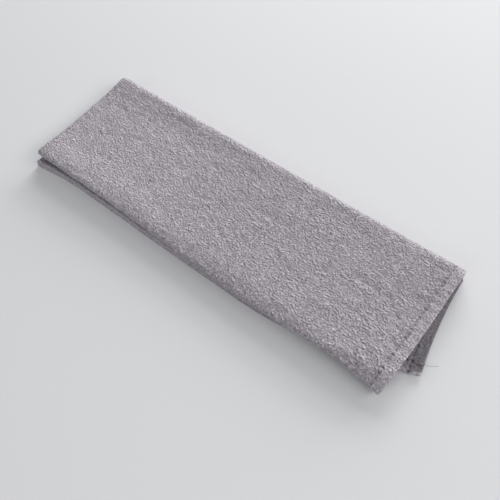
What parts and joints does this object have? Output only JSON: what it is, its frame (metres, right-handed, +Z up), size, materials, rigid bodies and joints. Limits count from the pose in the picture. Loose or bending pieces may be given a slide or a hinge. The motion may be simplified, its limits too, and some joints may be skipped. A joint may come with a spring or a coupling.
{
  "type": "folded cloth napkin",
  "caption": "Crinkled cotton napkin with hemmed edges, folded in half and then in quarters into a long flat strip, one corner sagging and one lower ply fanned out.",
  "frame": {"origin": "on the surface that the napkin lies on, under the middle of its box", "axes": "+X along the folded strip towards its hemmed ends, +Y across it towards the closed far edge, +Z up from the surface"},
  "size_m": [0.3125, 0.101, 0.0131],
  "materials": {
    "cotton": "matt, crinkled plain weave"
  },
  "bodies": {
    "root": {"napkin": "cotton"}
  },
  "joints": []
}
